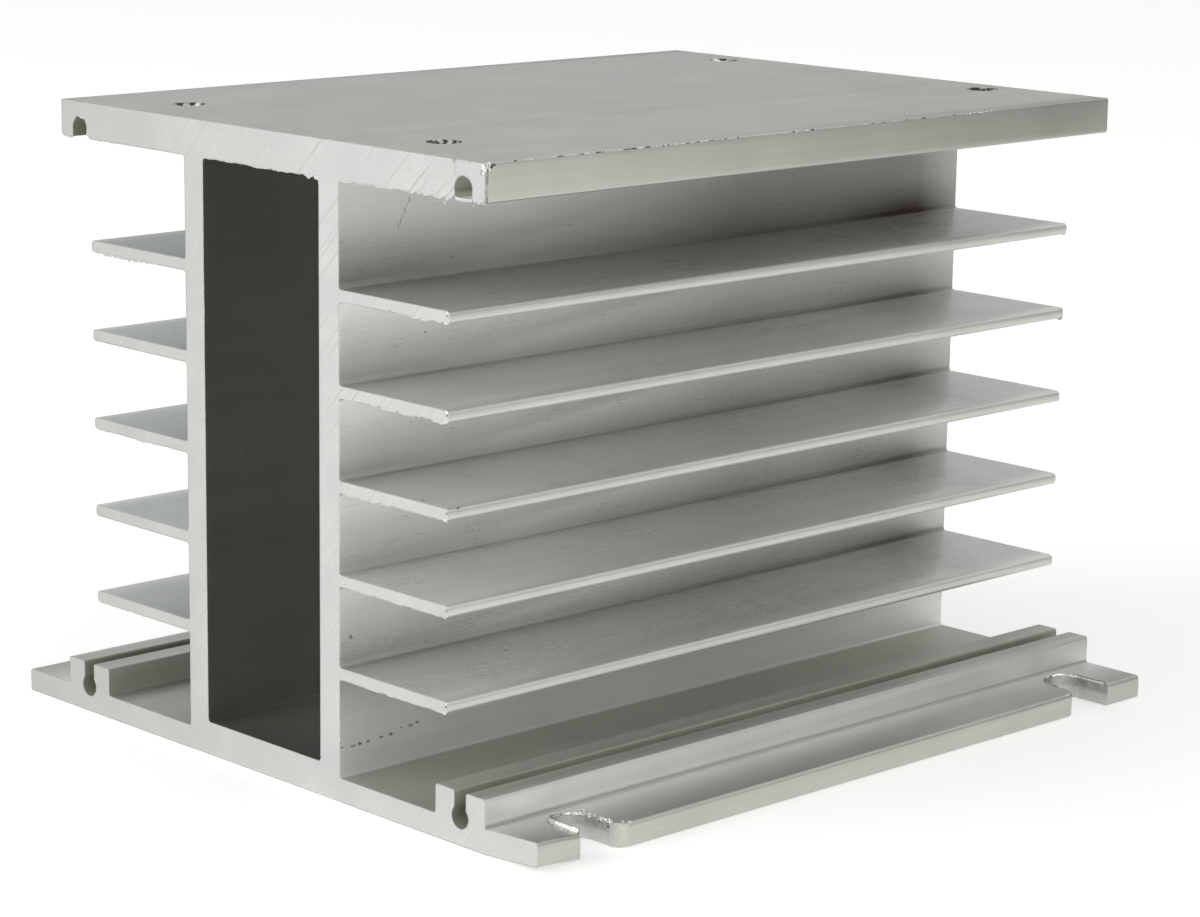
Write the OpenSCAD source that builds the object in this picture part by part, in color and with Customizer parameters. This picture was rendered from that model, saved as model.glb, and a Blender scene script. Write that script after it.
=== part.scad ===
// Extruded heat sink for a base-mounted power module.
// One aluminium extrusion: a thick mounting plate on a tall box channel, thin
// horizontal fins down both sides, and a flanged base with two screw ports.
// The section lies in X and Z, the extrusion runs along Y, and the origin is
// the middle of the underside.

/* [Overall] */
// Length of the saw-cut piece, along the extrusion
cut_length = 110; // [50:1:300]
// Height from the underside to the mounting face
height = 80; // [60:1:120]

/* [Mounting plate] */
// Width of the mounting plate
plate_w = 81; // [78:0.5:96]
// Thickness of the mounting plate
plate_t = 4.6; // [3.6:0.1:7]
// Rounding of the mounting face's two long edges
plate_top_r = 0.25; // [0.1:0.05:0.8]
// Rounding of the lip's lower outer edge
plate_lip_r = 0.5; // [0.1:0.05:0.8]

/* [Box channel] */
// Clear width of the channel between the two webs
channel_w = 22.2; // [16:0.2:30]
// Thickness of each web
web_t = 3.7; // [2.5:0.1:5]
// Thickness of metal under the channel
channel_floor_t = 4.3; // [2:0.1:8]
// Rounding inside the channel's four corners
channel_r = 0.4; // [0.1:0.05:1.5]

/* [Fins] */
// Number of fins on each side
fin_n = 5; // [1:1:5]
// Thickness of a fin
fin_t = 1.5; // [0.8:0.1:2.5]
// How far a fin stands out from its web
fin_reach = 19.6; // [8:0.2:30]
// Height of the lowest fin's underside
fin_z0 = 15.3; // [13:0.1:17]
// Distance from one fin to the next
fin_pitch = 11.45; // [6:0.05:12]
// Rounding of a fin's tip edges
fin_tip_r = 0.55; // [0.1:0.05:0.6]
// Fillet where a fin, web, plate or base meet
root_r = 0.35; // [0.1:0.05:1]

/* [Base] */
// Width of the base over both flanges
base_w = 100; // [92:1:140]
// Thickness of the base outside the webs
base_t = 3; // [2:0.1:4.5]
// Rounding of a flange's upper outer edge
flange_top_r = 0.5; // [0.1:0.05:0.9]
// Rounding of a flange's lower outer edge
flange_low_r = 0.25; // [0.1:0.05:0.9]

/* [Screw ports] */
// Width of each flange, outside its screw port
flange_reach = 9; // [8.6:0.2:16]
// Bore of the base's screw ports
port_bore_d = 2.9; // [2:0.1:3.4]
// Width of the mouth over a base port's bore
port_mouth_w = 2; // [1:0.1:2.6]
// Height of a base port's bore centre above the underside
port_bore_z = 3.5; // [3.3:0.05:4]
// Height of the base port's two walls above the base
port_wall_h = 3.6; // [2.5:0.1:5]
// Thickness of the port's inner wall at its mouth
port_inner_t = 3.35; // [2:0.05:4]
// Thickness of the port's outer wall at its mouth
port_outer_t = 3.35; // [2:0.05:3.6]
// Rounding along the tops of the port walls
port_wall_r = 0.35; // [0.1:0.05:0.8]
// Width of the round-topped groove under the plate's edge
groove_d = 3; // [2:0.1:3.4]
// Thickness of the plate's lip outside the groove
groove_lip_t = 2.35; // [1.5:0.05:4]
// Width of the groove's mouth
groove_mouth_w = 2.9; // [1.6:0.1:3.3]
// Height of the groove's centre above the plate's underside
groove_rise = 1.3; // [1:0.05:1.6]
// Bevel at the inner side of the groove's mouth, across
groove_bevel_w = 0.8; // [0.2:0.05:1.4]
// Bevel at the inner side of the groove's mouth, up
groove_bevel_h = 0.6; // [0.2:0.05:0.9]

/* [Tapped holes in the plate] */
// Hole spacing across the plate
tap_dx = 48.5; // [36:0.5:60]
// Pattern centre, across from the middle of the plate
tap_cx = -1.2; // [-2:0.1:2]
// Distance of the -Y holes from their cut end
tap_front = 9; // [4:0.5:15]
// Distance of the +Y holes from their cut end
tap_back = 5; // [4:0.5:15]
// Minor diameter of the tapped hole
tap_minor_d = 3.3; // [2.5:0.1:4.2]
// Diameter of the countersink at the top
tap_sink_d = 4.3; // [4.3:0.1:5.4]
// Depth of the countersink
tap_sink_h = 0.5; // [0.2:0.1:1]

/* [Slots in the flanges] */
// Width of a mounting slot
slot_w = 6.4; // [3.5:0.1:7]
// Distance from the slot's middle to the nearer cut end
slot_end = 9.8; // [6:0.2:20]
// How deep the slot runs in from the flange's edge
slot_depth = 7.6; // [4:0.1:8]

/* [Hidden] */
$fn = 64;
aluminium = [0.74, 0.745, 0.75];
arc_steps = 4;               // straight pieces in a small rounding
cut_over = 1;                // how far a cutter passes through a face
plate_z = height - plate_t;  // underside of the mounting plate
web_x = channel_w / 2 + web_t;
fin_x = web_x + fin_reach;
port_x = base_w / 2 - flange_reach - port_outer_t - port_mouth_w / 2;
groove_x = plate_w / 2 - groove_lip_t - groove_d / 2;
port_z = base_t + port_wall_h;
groove_z = plate_z + groove_rise;

// A rounded corner at b between a and c: the points of an arc that touches both
// edges, with its radius limited by the shorter edge. p[2] is the corner's radius.
function flat(p) = [p[0], p[1]];
function corner(a, b, c) =
    let (
        u = flat(a) - flat(b), v = flat(c) - flat(b),
        turn = acos(max(-1, min(1, (u * v) / (norm(u) * norm(v))))),
        reach = min(b[2] / tan(turn / 2), 0.49 * norm(u), 0.49 * norm(v)),
        r = reach * tan(turn / 2),
        mid = flat(b) + (u / norm(u) + v / norm(v)) * r
            / sin(turn / 2) / norm(u / norm(u) + v / norm(v)),
        p0 = flat(b) + u / norm(u) * reach, p1 = flat(b) + v / norm(v) * reach,
        a0 = atan2(p0[1] - mid[1], p0[0] - mid[0]),
        a1 = atan2(p1[1] - mid[1], p1[0] - mid[0]),
        sweep = (a1 - a0) - 360 * round((a1 - a0) / 360)
    )
    b[2] <= 0 ? [flat(b)]
    : [for (i = [0 : arc_steps])
        mid + r * [cos(a0 + sweep * i / arc_steps), sin(a0 + sweep * i / arc_steps)]];

function rounded(p) = [for (i = [0 : len(p) - 1])
    each corner(p[(i + len(p) - 1) % len(p)], p[i], p[(i + 1) % len(p)])];

function mirrored(p) = [for (i = [len(p) - 1 : -1 : 0]) [-p[i][0], p[i][1], p[i][2]]];

// One fin on the +X side, from its underside round the tip to its top.
function fin(z) = [
    [web_x, z, root_r], [fin_x, z, fin_tip_r],
    [fin_x, z + fin_t, fin_tip_r], [web_x, z + fin_t, root_r]];

// The +X half of the outline, from the underside up to the mounting face. The
// base port and the plate's groove are open notches here, and their round
// bottoms are cut later as true circles.
half_outline = [
    [base_w / 2, 0, flange_low_r],
    [base_w / 2, base_t, flange_top_r],
    [base_w / 2 - flange_reach, base_t, root_r],
    [base_w / 2 - flange_reach, port_z, port_wall_r],
    [port_x + port_mouth_w / 2, port_z, port_wall_r],
    [port_x + port_mouth_w / 2, port_bore_z, 0],
    [port_x - port_mouth_w / 2, port_bore_z, 0],
    [port_x - port_mouth_w / 2, port_z, port_wall_r],
    [port_x - port_mouth_w / 2 - port_inner_t, port_z, port_wall_r],
    [port_x - port_mouth_w / 2 - port_inner_t, base_t, root_r],
    [web_x, base_t, root_r],
    each [for (i = [0 : fin_n - 1]) each fin(fin_z0 + i * fin_pitch)],
    [web_x, plate_z, root_r],
    [groove_x - groove_mouth_w / 2 - groove_bevel_w, plate_z, 0.1],
    [groove_x - groove_mouth_w / 2, plate_z + groove_bevel_h, 0.1],
    [groove_x - groove_mouth_w / 2, groove_z, 0],
    [groove_x + groove_mouth_w / 2, groove_z, 0],
    [groove_x + groove_mouth_w / 2, plate_z, 0.1],
    [plate_w / 2, plate_z, plate_lip_r],
    [plate_w / 2, height, plate_top_r]];

// The drawn section of the extrusion.
module section() {
    difference() {
        polygon(rounded([each half_outline, each mirrored(half_outline)]));
        polygon(rounded([
            [-channel_w / 2, channel_floor_t, channel_r],
            [channel_w / 2, channel_floor_t, channel_r],
            [channel_w / 2, plate_z, channel_r],
            [-channel_w / 2, plate_z, channel_r]]));
        for (s = [-1, 1]) {
            translate([s * port_x, port_bore_z]) circle(d = port_bore_d);
            translate([s * groove_x, groove_z]) circle(d = groove_d);
        }
    }
}

// A tapped hole, cut down from the mounting face.
module tapped_hole() {
    translate([0, 0, -plate_t - cut_over])
        cylinder(d = tap_minor_d, h = plate_t + 2 * cut_over);
    translate([0, 0, -tap_sink_h])
        cylinder(d1 = tap_minor_d, d2 = tap_sink_d, h = tap_sink_h);
}

// A mounting slot in the +X flange, open to the flange's edge.
module edge_slot() {
    translate([base_w / 2 - slot_depth + slot_w / 2, 0, -cut_over]) {
        cylinder(d = slot_w, h = base_t + 2 * cut_over);
        translate([0, -slot_w / 2, 0])
            cube([slot_depth, slot_w, base_t + 2 * cut_over]);
    }
}

module heat_sink() {
    color(aluminium)
    difference() {
        rotate([90, 0, 0])
            linear_extrude(height = cut_length, center = true) section();
        for (x = [-1, 1], y = [tap_front - cut_length / 2, cut_length / 2 - tap_back])
            translate([tap_cx + x * tap_dx / 2, y, height]) tapped_hole();
        for (s = [0, 1], y = [-1, 1])
            mirror([s, 0, 0]) translate([0, y * (cut_length / 2 - slot_end), 0])
                edge_slot();
    }
}

heat_sink();
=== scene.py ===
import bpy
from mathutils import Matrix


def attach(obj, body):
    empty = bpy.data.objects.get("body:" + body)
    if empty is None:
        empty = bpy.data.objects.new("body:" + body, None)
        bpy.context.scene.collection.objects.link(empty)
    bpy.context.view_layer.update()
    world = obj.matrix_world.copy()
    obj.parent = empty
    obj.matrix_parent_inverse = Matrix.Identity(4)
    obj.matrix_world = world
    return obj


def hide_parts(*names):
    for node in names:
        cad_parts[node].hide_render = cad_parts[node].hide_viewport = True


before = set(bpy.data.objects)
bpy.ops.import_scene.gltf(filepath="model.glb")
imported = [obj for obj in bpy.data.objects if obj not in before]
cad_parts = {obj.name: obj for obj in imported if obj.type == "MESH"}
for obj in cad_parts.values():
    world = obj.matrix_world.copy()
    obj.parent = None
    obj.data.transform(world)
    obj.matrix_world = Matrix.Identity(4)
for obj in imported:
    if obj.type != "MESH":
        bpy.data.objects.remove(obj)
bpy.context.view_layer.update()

import bmesh
import bpy
import numpy as np
from mathutils import Matrix

# Sizes in millimetres, as in the part's source; meshes are written in metres.
MM = 0.001
CUT_LENGTH, HEIGHT = 110.0, 80.0
PLATE_W, PLATE_Z = 81.0, 75.4
CHANNEL_W, CHANNEL_FLOOR, WEB_X = 22.2, 4.3, 14.8
FIN_X, FIN_T, FIN_Z0, FIN_PITCH, FIN_COUNT = 34.4, 1.5, 15.3, 11.45, 5
BASE_W, BASE_T = 100.0, 3.0
FLANGE_X, PORT_X, PORT_Z, PORT_BORE_Z, PORT_INNER_X = 41.0, 36.65, 6.6, 3.5, 32.3
PORT_MOUTH, PORT_BORE_R = 2.0, 1.45
GROOVE_X, GROOVE_Z, GROOVE_MOUTH, GROOVE_R = 36.65, 76.7, 2.9, 1.5
TAP_X, TAP_Y = (-25.45, 23.05), (-46.0, 50.0)
TAP_R, TAP_SINK_R, TAP_SINK_H = 1.65, 2.15, 0.5
SLOT_W, SLOT_Y, SLOT_INNER_X = 6.4, 45.2, 42.4
MOUTH_R = 1.8           # a slot's rolled mouth corners
ARC_STEPS = 4           # straight pieces in a small rounding
BURR_STEP = .14         # between two sections of a burr
TORN_WALL_Y = -SLOT_Y + SLOT_W / 2      # the front slot's wall that the punch tore
FRONT = -CUT_LENGTH / 2                 # the near cut end


# ---------------------------------------------------------------- shapes

def rounded(corners):
    """Closed outline of arcs. Each corner (x, z, radius) becomes an arc that touches both of its
    edges: its centre lies on the corner's bisector at radius / sin(half the turn)."""
    at, radius = corners[:, :2], corners[:, 2]
    back, ahead = np.roll(at, 1, 0) - at, np.roll(at, -1, 0) - at
    back_len, ahead_len = np.linalg.norm(back, axis=1), np.linalg.norm(ahead, axis=1)
    back, ahead = back / back_len[:, None], ahead / ahead_len[:, None]
    half = np.arccos(np.clip((back * ahead).sum(1), -1, 1)) / 2
    reach = np.minimum(radius / np.tan(half), 0.49 * np.minimum(back_len, ahead_len))
    radius = reach * np.tan(half)
    bisector = (back + ahead) / np.linalg.norm(back + ahead, axis=1)[:, None]
    centre = at + bisector * (radius / np.sin(half))[:, None]
    first, last = at + back * reach[:, None] - centre, at + ahead * reach[:, None] - centre
    start = np.arctan2(first[:, 1], first[:, 0])
    sweep = np.arctan2(last[:, 1], last[:, 0]) - start
    sweep = (sweep + np.pi) % (2 * np.pi) - np.pi
    turn = start[:, None] + sweep[:, None] * np.linspace(0, 1, ARC_STEPS + 1)
    arc = centre[:, None] + radius[:, None, None] * np.stack([np.cos(turn), np.sin(turn)], 2)
    line = arc.reshape(-1, 2)
    return line[np.linalg.norm(line - np.roll(line, 1, 0), axis=1) > 1e-4]


def round_bottom(x, z, radius, half_mouth, way):
    """The round end of a notch as corners of radius 0: an arc from one side of the mouth to the
    other, over the top (way 1) or round the bottom (way -1)."""
    lip = np.arccos(half_mouth / radius)
    turn = np.linspace(-lip, np.pi + lip, 15)
    turn = turn[::-1] if way > 0 else turn
    return np.stack([x + radius * np.cos(turn), z + way * radius * np.sin(turn), 0 * turn], 1)


def section_outline():
    """The extrusion's outer outline: the +X half from the underside up, then its mirror image."""
    fins = [[(WEB_X, z, .35), (FIN_X, z, .55), (FIN_X, z + FIN_T, .55), (WEB_X, z + FIN_T, .35)]
            for z in FIN_Z0 + FIN_PITCH * np.arange(FIN_COUNT)]
    mouth, groove = PORT_MOUTH / 2, GROOVE_MOUTH / 2
    half = np.vstack([
        [(BASE_W / 2, 0, .25), (BASE_W / 2, BASE_T, .5), (FLANGE_X, BASE_T, .35),
         (FLANGE_X, PORT_Z, .35), (PORT_X + mouth, PORT_Z, .35)],
        round_bottom(PORT_X, PORT_BORE_Z, PORT_BORE_R, mouth, -1),
        [(PORT_X - mouth, PORT_Z, .35), (PORT_INNER_X, PORT_Z, .35), (PORT_INNER_X, BASE_T, .35),
         (WEB_X, BASE_T, .35), *[corner for fin in fins for corner in fin],
         (WEB_X, PLATE_Z, .35), (GROOVE_X - groove - .8, PLATE_Z, .1),
         (GROOVE_X - groove, PLATE_Z + .6, .1)],
        round_bottom(GROOVE_X, GROOVE_Z, GROOVE_R, groove, 1),
        [(GROOVE_X + groove, PLATE_Z, .1), (PLATE_W / 2, PLATE_Z, .5),
         (PLATE_W / 2, HEIGHT, .25)]])
    return rounded(np.vstack([half, half[::-1] * (-1, 1, 1)]))


def channel_outline():
    """The box channel's outline, run so that its left side is air, as the outer outline's is."""
    x = CHANNEL_W / 2
    return rounded(np.array([(-x, CHANNEL_FLOOR, .4), (-x, PLATE_Z, .4),
                             (x, PLATE_Z, .4), (x, CHANNEL_FLOOR, .4)]))


def even_steps(line, closed):
    """A polyline walked at even steps: its points are read off against its running length."""
    if closed:
        line = np.vstack([line, line[:1]])
    run = np.concatenate([[0], np.cumsum(np.linalg.norm(np.diff(line, axis=0), axis=1))])
    at = np.linspace(0, run[-1], int(run[-1] / BURR_STEP) + 2)
    at = at[:-1] if closed else at
    return np.stack([np.interp(at, run, line[:, k]) for k in range(line.shape[1])], 1), at


def ragged(at, spacings, seed):
    """Broken line of heights from 0 to 1: seeded random knots at each spacing, joined straight,
    and the layers multiplied so that high spots stay short and rare."""
    rng = np.random.default_rng(seed)
    total = np.ones_like(at)
    for spacing in spacings:
        knots = np.arange(at.min() - spacing, at.max() + 2 * spacing, spacing)
        total = total * np.interp(at, knots, rng.random(len(knots)))
    return total ** (1 / len(spacings))


def grid_faces(rows, columns, close_rows=False, close_columns=False):
    """Quads of a grid of points, written as index arithmetic on the whole grid."""
    row = np.arange(rows if close_rows else rows - 1)
    column = np.arange(columns if close_columns else columns - 1)
    r, c = np.meshgrid(row, column, indexing="ij")
    r2, c2 = (r + 1) % rows, (c + 1) % columns
    return np.stack([r * columns + c, r2 * columns + c, r2 * columns + c2, r * columns + c2],
                    2).reshape(-1, 4)


def put(name, data):
    """A new object in the scene, at the origin, for a mesh, a lamp or a camera."""
    thing = bpy.data.objects.new(name, data)
    bpy.context.collection.objects.link(thing)
    return thing


def grid_mesh(name, points, faces, material):
    """Points (millimetres) and quads as a new mesh object at the origin."""
    mesh = bpy.data.meshes.new(name)
    mesh.from_pydata(points.reshape(-1, 3) * MM, [], faces.tolist())
    mesh.materials.append(material)
    return put(name, mesh)


def surface(name, points, faces, material):
    """A smooth piece of the heat sink, from points (millimetres) and quads."""
    piece = grid_mesh(name, points, faces, material)
    piece.data.shade_smooth()
    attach(piece, "root")
    return piece


def feather(path, out, end, height, closed):
    """A burr: a thin hooked section carried along an arris. At each point it reaches `height`
    along `out` (away from the metal) and stands a little proud along `end` (off the cut face)."""
    along = np.array([-.10, .35, .93, 1.0, .55, -.12])
    proud = np.array([.015, .045, .03, -.02, -.10, -.22])
    ring = (path[:, None] + out[:, None] * (np.clip(along, 0, 1) * height[:, None]
                                            + np.minimum(along, 0))[..., None]
            + end[:, None] * (proud * np.minimum(1, height * 6 + .02)[:, None])[..., None])
    return ring, grid_faces(len(path), 6, closed, True)


def joined(parts):
    """Several grids as one: points stacked, and each grid's indices moved up past the last."""
    starts = np.cumsum([0] + [p.reshape(-1, 3).shape[0] for p, _ in parts[:-1]])
    return (np.vstack([p.reshape(-1, 3) for p, _ in parts]),
            np.vstack([f + s for (_, f), s in zip(parts, starts)]))


# ---------------------------------------------------------------- materials

# Distances in materials are in metres, as Object coordinates are.
ARRIS_R = .00013        # how softly the metal's arrises catch the light


def linear(hex_colour):
    """sRGB hex to linear RGBA."""
    c = np.array([int(hex_colour[k:k + 2], 16) for k in (1, 3, 5)]) / 255
    return (*np.where(c <= .04045, c / 12.92, ((c + .055) / 1.055) ** 2.4), 1)


def add(tree, kind, sockets=None, **settings):
    """Adds one node with its settings, and fills or links its sockets. A node given for a socket
    is linked by its first output."""
    node = tree.nodes.new("ShaderNode" + kind)
    for key, value in settings.items():
        setattr(node, key, value)
    for key, value in (sockets or {}).items():
        if isinstance(value, bpy.types.Node):
            value = value.outputs[0]
        if isinstance(value, bpy.types.NodeSocket):
            tree.links.new(value, node.inputs[key])
        else:
            node.inputs[key].default_value = value
    return node


def new_material(name):
    """An empty material and its node tree."""
    material = bpy.data.materials.new(name)
    material.use_nodes = True
    material.node_tree.nodes.clear()
    return material, material.node_tree


def set_stops(ramp, *stops):
    """Gives a colour ramp its stops, each a place and a hex colour, from first to last."""
    marks = ramp.color_ramp.elements
    marks[0].position, marks[1].position = stops[0][0], stops[-1][0]
    for place, _ in stops[1:-1]:
        marks.new(place)
    for mark, (_, colour) in zip(marks, stops):
        mark.color = linear(colour)


def painted_bay_shade(t, along, side, height, web):
    """0 to 1: painted shade on the webs and the fins' tops, standing for the shade and dark
    reflections in the bays. At the front it lies in each bay's crease and fades as exp(-(distance
    from the web / 9 mm + height above the fin below / 2 mm)); towards the rear it leaves the fins
    and spreads up the whole web, with a dark spot low down near the end. Under the plate it
    covers the whole bay. The second result is 1 on the fillets."""
    top, pitch, plate_z = (FIN_Z0 + FIN_T) * MM, FIN_PITCH * MM, PLATE_Z * MM
    out = add(t, "MapRange", {"Value": side, "From Min": WEB_X * MM, "From Max": .0598,
                              "To Min": 0, "To Max": -5})
    # the height in its own bay: held between the first and the last bay, then wrapped
    held = add(t, "Clamp", {"Value": height, "Min": top - pitch + 1e-5,
                            "Max": top + FIN_COUNT * pitch - 1e-5})
    bay = add(t, "Math", {0: held, 1: top + pitch, 2: top}, operation="WRAP")
    above = add(t, "MapRange", {"Value": bay, "From Min": top, "From Max": top + pitch,
                                "To Min": 0, "To Max": -FIN_PITCH / 2})
    # the painted shade in the creases, which is weaker in the bay under the plate
    corner = add(t, "Math", {0: add(t, "Math", {0: out, 1: above}, operation="ADD")},
                 operation="EXPONENT")
    front = add(t, "MapRange", {"Value": along, "From Min": -.045, "From Max": .020,
                                "To Min": .56, "To Max": .10})
    under = add(t, "MapRange", {"Value": height, "From Min": .0618, "From Max": .0634})
    crease = add(t, "Math", {0: corner, 1: front}, operation="MULTIPLY")
    thin = add(t, "Math", {0: crease, 1: .45}, operation="MULTIPLY")
    crease = add(t, "MapRange", {"Value": under, "To Min": crease, "To Max": thin})
    # the painted shade up the webs at the rear, and its dark spot
    rear = add(t, "MapRange", {"Value": along, "From Min": -.028, "From Max": .012,
                               "To Min": 0, "To Max": .5})
    foot = add(t, "MapRange", {"Value": above, "From Min": -2.5, "From Max": 0,
                               "To Min": 0, "To Max": .36})
    spot = add(t, "MapRange", {"Value": along, "From Min": .028, "From Max": .044})
    rear = add(t, "Math", {0: foot, 1: spot, 2: rear}, operation="MULTIPLY_ADD")
    spread = add(t, "Math", {0: web, 1: rear, 2: crease}, operation="MULTIPLY_ADD")
    # the base gets almost none of it
    bays = add(t, "MapRange", {"Value": height, "From Min": .0148, "From Max": .0158,
                               "To Min": .03, "To Max": 1})
    # the fillets get a little less painted shade in front and more behind
    fillet = add(t, "Math", {
        0: add(t, "MapRange", {"Value": above, "From Min": -.40, "From Max": -.20}),
        1: add(t, "MapRange", {"Value": out, "From Min": -.085, "From Max": -.045})},
        operation="MULTIPLY")
    fillet = add(t, "Math", {0: fillet, 1: bays}, operation="MULTIPLY")
    fillet_shade = add(t, "MapRange", {"Value": along, "From Min": -.020, "From Max": .020,
                               "To Min": -.05, "To Max": .18})
    spread = add(t, "Math", {0: fillet, 1: fillet_shade, 2: spread}, operation="MULTIPLY_ADD")
    crease_shade = add(t, "Math", {0: spread, 1: bays}, operation="MULTIPLY")
    # under the plate
    shelf = add(t, "Math", {0: under, 1: add(t, "MapRange", {
        "Value": along, "From Min": -.055, "From Max": .040, "To Min": .50, "To Max": .40})},
        operation="MULTIPLY")
    slope = add(t, "MapRange", {"Value": above, "From Min": -4.4, "From Max": 0,
                                "To Min": .12, "To Max": .50})
    slope = add(t, "Math", {0: web, 1: slope, 2: .7}, operation="MULTIPLY_ADD")
    shelf = add(t, "Math", {0: shelf, 1: slope}, operation="MULTIPLY")
    both = add(t, "Math", {0: crease_shade, 1: shelf}, operation="ADD")
    # less at the far cut end, and none on the plate itself
    end = add(t, "MapRange", {"Value": along, "From Min": .0555, "From Max": .047,
                              "To Min": .45, "To Max": 1})
    below = add(t, "MapRange", {"Value": height, "From Min": plate_z + .0002,
                                "From Max": plate_z - .0004})
    kept = add(t, "Math", {0: end, 1: below}, operation="MULTIPLY")
    return add(t, "Math", {0: both, 1: kept}, operation="MULTIPLY"), fillet


def between_fins(t, side, height, web):
    """Two masks. The first is 1 on the webs and fins. The second is 1 at the foot of the ports'
    outer walls, and fades out over the flange to its edge."""
    inner = add(t, "MapRange", {"Value": side, "From Min": .0348, "From Max": .0335})
    below = add(t, "MapRange", {"Value": height, "From Min": .0755, "From Max": .0750})
    high = add(t, "MapRange", {"Value": height, "From Min": .0068, "From Max": .0074})
    clear = add(t, "Math", {0: high, 1: web}, operation="MAXIMUM")
    bays = add(t, "Math", {0: clear, 1: inner}, operation="MULTIPLY")
    bays = add(t, "Math", {0: bays, 1: below}, operation="MULTIPLY")
    wall = add(t, "MapRange", {"Value": side, "From Min": .0396, "From Max": .0404})
    foot = add(t, "MapRange", {"Value": height, "From Min": .0062, "From Max": .0036,
                               "To Min": .4, "To Max": 1})
    rim = add(t, "MapRange", {"Value": side, "From Min": .0500, "From Max": .0410})
    low = add(t, "MapRange", {"Value": height, "From Min": .0120, "From Max": .0100})
    foot = add(t, "Math", {0: foot, 1: low}, operation="MULTIPLY")
    foot = add(t, "Math", {0: rim, 1: foot}, operation="MULTIPLY")
    return bays, add(t, "Math", {0: wall, 1: foot}, operation="MULTIPLY")


def painted_base_shade(t, along, side, height):
    """0 to 1: painted shade, darkening the crease at the foot of the ports' outer walls, thinly
    over the flanges, and, more and more towards the rear, along the plate's long edges and on those
    walls."""
    crease = add(t, "MapRange", {"Value": add(t, "Math", {0: side, 1: .0411, 2: .0002},
                                              operation="COMPARE"), "To Min": 0, "To Max": .5})
    foot = add(t, "MapRange", {"Value": height, "From Min": .0037, "From Max": .0033})
    rim = add(t, "MapRange", {"Value": side, "From Min": .0415, "From Max": .0450,
                              "To Min": 0, "To Max": .10})
    line = add(t, "Math", {0: crease, 1: foot, 2: rim}, operation="MULTIPLY_ADD")
    rear = add(t, "MapRange", {"Value": along, "From Min": -.040, "From Max": .050,
                               "To Min": .02, "To Max": .30})
    above = add(t, "MapRange", {"Value": height, "From Min": .0754, "From Max": .0757})
    strip = add(t, "MapRange", {"Value": side, "From Min": .0370, "From Max": .0395})
    strip = add(t, "Math", {0: strip, 1: above}, operation="MULTIPLY")
    wall = add(t, "Math", {0: side, 1: .0408, 2: .0004}, operation="COMPARE")
    wall = add(t, "Math", {0: wall, 1: add(t, "Math", {0: height, 1: .0053, 2: .0017},
                                           operation="COMPARE")}, operation="MULTIPLY")
    strip = add(t, "Math", {0: strip, 1: wall}, operation="MAXIMUM")
    return add(t, "Math", {0: strip, 1: rear, 2: line}, operation="MULTIPLY_ADD")


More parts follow.
